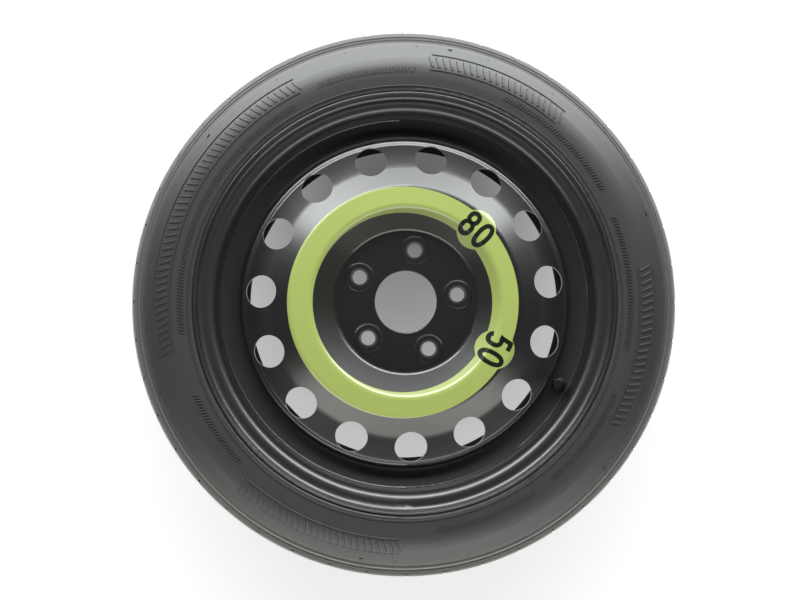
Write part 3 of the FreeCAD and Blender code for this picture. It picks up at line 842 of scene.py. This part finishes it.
class SPAREWHEEL_OT_dress_tyre(bpy.types.Operator):
    """Give the tyre its rubber and its moulded marks"""

    bl_idname = "sparewheel.dress_tyre"
    bl_label = "Dress tyre"

    # First and last angle of each ribbed panel, in degrees
    panels = ((84.0, 50.0), (192.0, 117.0), (228.0, 268.0), (8.0, -30.0))
    # Radius of each row of finer ribs, and its first and last angle in degrees
    rows = (
        (0.2430, 112.0, 88.0), (0.2370, 64.0, 30.0), (0.2335, 188.0, 120.0), (0.2370, 224.0, 204.0),
        (0.2370, 304.0, 278.0), (0.2370, -24.0, -50.0), (0.2345, 22.0, -12.0),
    )
    # Radius and width of the full rings at the shoulder and the bead
    full_rings = ((0.2798, 0.0020), (0.2766, 0.0020), (0.2262, 0.0022))
    # The two circles of vent pips
    pip_radii = (0.2312, 0.2694)
    pip_start = 0.1
    pip_sides = 12
    # The wear pointers
    pointer_count = 6
    pointer_radius = 0.2702
    pointer_start = 0.35
    pointer_sides = 3

    def execute(self, context):
        finish = context.scene.spare_wheel_tyre
        rubber = tyre_rubber(finish)
        wear_material("tyre", rubber)
        tree = arc_repeat_tree()
        skin = surface_of("tyre")
        for side, down in (("outboard", -1), ("inboard", 1)):
            for name, plans in (
                ("panel_ribs_", self.ribs(tree, rubber, finish)),
                ("moulded_rings_", self.rings(rubber, finish)),
                ("vent_pips_", self.pips(tree, rubber, finish)),
            ):
                self.mould(context, name + side, rubber, plans, skin, down)
        return {"FINISHED"}

    def ribs(self, tree, rubber, finish):
        """Panels of leaning bars, and rows of finer ones nearer the bead, with their lower half sunk."""
        bar = (finish.panel_depth, finish.rib_width, 2 * finish.mark_height)
        fine_bar = (*finish.fine_rib, 2 * finish.fine_height * finish.mark_height)
        pitch, lean = finish.rib_pitch, finish.rib_lean
        plans = []
        for first, last in self.panels:
            plans.append(self.arc(tree, rubber, finish.panel_radius, first, last, pitch, bar, lean))
        for radius, first, last in self.rows:
            plans.append(self.arc(tree, rubber, radius, first, last, pitch / 2, fine_bar, -lean))
        return plans

    def arc(self, tree, rubber, radius, first, last, pitch, bar, lean):
        """Bars at a pitch between two angles in degrees."""
        sweep = math.radians(last - first)
        count = int(abs(sweep) / pitch) + 1
        return arc_of_marks(tree, rubber, count, math.radians(first), sweep, radius, bar, lean=lean)

    def rings(self, rubber, finish):
        """Full rings at the shoulder and bead, and rules along each panel."""
        rise = finish.mark_height
        plans = [ring_plan(rubber, radius, width, rise) for radius, width in self.full_rings]
        for first, last in self.panels:
            for side in (-1, 1):
                radius = finish.panel_radius + side * (finish.panel_depth / 2 + finish.rule_gap)
                plans.append(ring_plan(rubber, radius, finish.rule_width, rise,
                                       math.radians(first), math.radians(last - first)))
        return plans

    def pips(self, tree, rubber, finish):
        """Round stubs from the mould's vents, and small wear pointers."""
        diameter, height = finish.pip_size
        stub = (diameter, diameter, height)
        pointer = (finish.pointer_size, finish.pointer_size, 2 * finish.mark_height)
        plans = []
        for radius in self.pip_radii:
            plans.append(self.circle(tree, rubber, finish.pip_count, self.pip_start,
                                     radius, stub, self.pip_sides))
        plans.append(self.circle(tree, rubber, self.pointer_count, self.pointer_start,
                                 self.pointer_radius, pointer, self.pointer_sides))
        return plans

    def circle(self, tree, rubber, count, start, radius, stub, sides):
        """Stubs spread evenly on a whole circle."""
        sweep = FULL_TURN * (count - 1) / count
        return arc_of_marks(tree, rubber, count, start, sweep, radius, stub, sides)

    def mould(self, context, name, rubber, plans, skin, down):
        """Joins flat plans and presses them on to one sidewall."""
        work = bmesh.new()
        for plan in plans:
            work.from_mesh(plan)
            bpy.data.meshes.remove(plan)
        for face in work.faces:
            face.material_index = 0
        mesh = bpy.data.meshes.new(name)
        work.to_mesh(mesh)
        work.free()
        mesh.materials.append(rubber)
        press_on(mesh, skin, down)
        if down > 0:
            mesh.flip_normals()
        piece = add_piece(context, name, mesh)
        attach(piece, WHEEL)


class SPAREWHEEL_OT_dress_valve(bpy.types.Operator):
    """Finish the valve's rubber, brass, plastic and spring"""

    bl_idname = "sparewheel.dress_valve"
    bl_label = "Dress valve"

    rubber_nodes = ("valve_stem_rubber", "valve_core_seal", "valve_cap_seal")
    brass_nodes = ("valve_stem_insert", "valve_core_plug", "valve_core_barrel", "valve_core_pin")

    def execute(self, context):
        finish = context.scene.spare_wheel_valve
        for name, colour, surface, nodes in (
            ("valve_rubber", finish.rubber_colour, VALVE_RUBBER, self.rubber_nodes),
            ("turned_brass", finish.brass_colour, TURNED_BRASS, self.brass_nodes),
            ("core_gasket_red", finish.gasket_colour, GASKET_PLASTIC, ("valve_core_gasket",)),
            ("cap_plastic", finish.cap_colour, CAP_PLASTIC, ("valve_cap",)),
        ):
            material = new_material(name, colour, surface)
            for node in nodes:
                wear_material(node, material)
        self.coil(context, new_material("spring_wire", finish.wire_colour, SPRING_WIRE))
        return {"FINISHED"}

    def coil(self, context, wire):
        """The core's spring, as a piece of its own in place of the CAD spring."""
        mesh = self.merged_copy("valve_core_spring", "core_coil")
        mesh.materials.append(wire)
        piece = add_piece(context, "core_coil", mesh)
        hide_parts("valve_core_spring")
        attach(piece, WHEEL)
        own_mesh(piece)

    def merged_copy(self, node, name):
        """A closed copy of a CAD node's mesh with smooth shading of its own."""
        work = bmesh.new()
        work.from_mesh(NODES[node].data)
        bmesh.ops.remove_doubles(work, verts=work.verts, dist=MERGE_GAP)
        mesh = bpy.data.meshes.new(name)
        work.to_mesh(mesh)
        work.free()
        old_normals = mesh.attributes.get("custom_normal")
        if old_normals:
            mesh.attributes.remove(old_normals)
        mesh.shade_smooth()
        mesh.set_sharp_from_angle(angle=COIL_SHARP)
        return mesh


class SPAREWHEEL_OT_studio(bpy.types.Operator):
    """Set the floor, lamps, room and camera"""

    bl_idname = "sparewheel.studio"
    bl_label = "Studio"

    def execute(self, context):
        scene = context.scene
        stage = scene.spare_wheel_stage
        scene.view_settings.view_transform = "Standard"
        self.floor(context, stage)
        self.room(scene, stage)
        self.lamp(context, "top_softbox", 1, stage.top_power, stage.top_colour)
        self.lamp(context, "low_softbox", -1, stage.low_power, stage.low_colour)
        self.camera(context, stage)
        return {"FINISHED"}

    def floor(self, context, stage):
        """A wide pale floor under the wheel that the camera sees as white."""
        height = CAD_BOX[0].z
        turns = [FULL_TURN * side / FLOOR_SIDES for side in range(FLOOR_SIDES)]
        edge = [(stage.floor_radius * math.cos(a), stage.floor_radius * math.sin(a), height) for a in turns]
        mesh = bpy.data.meshes.new("studio_floor")
        mesh.from_pydata(edge, [], [tuple(range(FLOOR_SIDES))])
        material = new_material("pale_floor", stage.floor_colour, FLOOR_MATT)
        self.whiten_with_painted_shadow(material, stage)
        mesh.materials.append(material)
        floor = add_piece(context, "studio_floor", mesh)

    def whiten_with_painted_shadow(self, material, stage):
        """A glow that only the camera and reflections see, with a painted shadow in it: weaker under the
        wheel and fading next to the tyre.
        """
        tree = material.node_tree
        path = add(tree, "ShaderNodeLightPath").outputs
        seen = maths(tree, "MAXIMUM", path["Is Camera Ray"], path["Is Glossy Ray"])
        seen = maths(tree, "MAXIMUM", seen, path["Is Transmission Ray"])
        # Painted shadow under the wheel, darkest off the hub towards the upper vents
        from_shadow_centre = disc_distance(tree, *stage.painted_shadow_centre, stage.painted_shadow_stretch)
        painted_shadow_range = (stage.painted_shadow_glow, stage.painted_shadow_edge_share * stage.glow_round)
        under = ramp(tree, from_shadow_centre, stage.painted_shadow_reach, painted_shadow_range)
        # Painted contact shadow on the floor next to the tyre
        beyond = ramp(tree, disc_distance(tree, 0.0, 0.0), stage.contact_shadow_reach, (0.0, stage.glow_round))
        glow = maths(tree, "MULTIPLY", seen, maths(tree, "MAXIMUM", under, beyond))
        inputs = shader_of(material).inputs
        inputs["Emission Color"].default_value = (1, 1, 1, 1)
        tree.links.new(glow, inputs["Emission Strength"])

    def room(self, scene, stage):
        """A room with a pale far wall, dimmer side walls and a dark ceiling."""
        world = bpy.data.worlds.new("studio_room")
        world.use_nodes = True
        scene.world = world
        tree = world.node_tree
        background = tree.nodes["Background"]
        background.inputs["Color"].default_value = (1, 1, 1, 1)
        towards = xyz(tree, place_on_object(tree))
        climb = maths(tree, "ABSOLUTE", towards["Z"])
        shade = ramp(tree, climb, (0.0, stage.wall_top), (stage.horizon, stage.zenith))
        wall = maths(tree, "MAXIMUM", towards["Y"], stage.side_wall)
        tree.links.new(maths(tree, "MULTIPLY", shade, wall), background.inputs["Strength"])

    def lamp(self, context, name, side, power, colour):
        """A rectangular softbox on one side, aimed at the hub."""
        stage = context.scene.spare_wheel_stage
        light = bpy.data.lights.new(name, "AREA")
        light.shape = "RECTANGLE"
        light.size, light.size_y = stage.lamp_size
        light.energy = power
        light.color = colour
        lamp = add_piece(context, name, light)
        lamp.location = (0.0, side * stage.lamp_reach, stage.lamp_height)
        lamp.rotation_euler = (-lamp.location).to_track_quat("-Z", "Y").to_euler()

    def camera(self, context, stage):
        """A camera at the photograph's angle."""
        lens = bpy.data.cameras.new("camera")
        lens.sensor_width = 36.0
        lens.lens = stage.lens
        lens.clip_start = 0.01
        camera = add_piece(context, "camera", lens)
        down, side = stage.camera_tilt
        back = Vector((math.sin(side) * math.cos(down), -math.sin(down), math.cos(side) * math.cos(down)))
        camera.location = Vector(stage.aim) + back * stage.camera_distance
        right = Vector((0, 1, 0)).cross(back).normalized()
        up = back.cross(right)
        camera.rotation_euler = Matrix((right, up, back)).transposed().to_euler()
        context.scene.camera = camera


class SPAREWHEEL_PT_panel(bpy.types.Panel):
    """The steps that dress the spare wheel"""

    bl_idname = "SPAREWHEEL_PT_panel"
    bl_label = "Spare wheel"
    bl_space_type = "VIEW_3D"
    bl_region_type = "UI"
    bl_category = "Spare Wheel"

    def draw(self, context):
        for step in STEPS:
            self.layout.operator(step.bl_idname)


SETTINGS = {
    "spare_wheel_paint": WheelPaint,
    "spare_wheel_tyre": TyreFinish,
    "spare_wheel_valve": ValveFinish,
    "spare_wheel_stage": StudioStage,
}
STEPS = (
    SPAREWHEEL_OT_paint_wheel,
    SPAREWHEEL_OT_number_marks,
    SPAREWHEEL_OT_dress_tyre,
    SPAREWHEEL_OT_dress_valve,
    SPAREWHEEL_OT_studio,
)
CLASSES = (*SETTINGS.values(), *STEPS, SPAREWHEEL_PT_panel)


def register():
    """Makes the settings, steps and panel known to Blender."""
    for item in CLASSES:
        bpy.utils.register_class(item)
    for name, group in SETTINGS.items():
        setattr(bpy.types.Scene, name, PointerProperty(type=group))


def unregister():
    """Takes the settings, steps and panel away again."""
    for name in SETTINGS:
        delattr(bpy.types.Scene, name)
    for item in reversed(CLASSES):
        bpy.utils.unregister_class(item)


def main():
    """Dresses the wheel and sets the stage."""
    register()
    bpy.ops.sparewheel.paint_wheel()
    bpy.ops.sparewheel.number_marks()
    bpy.ops.sparewheel.dress_tyre()
    bpy.ops.sparewheel.dress_valve()
    bpy.ops.sparewheel.studio()


if __name__ == "__main__":
    main()
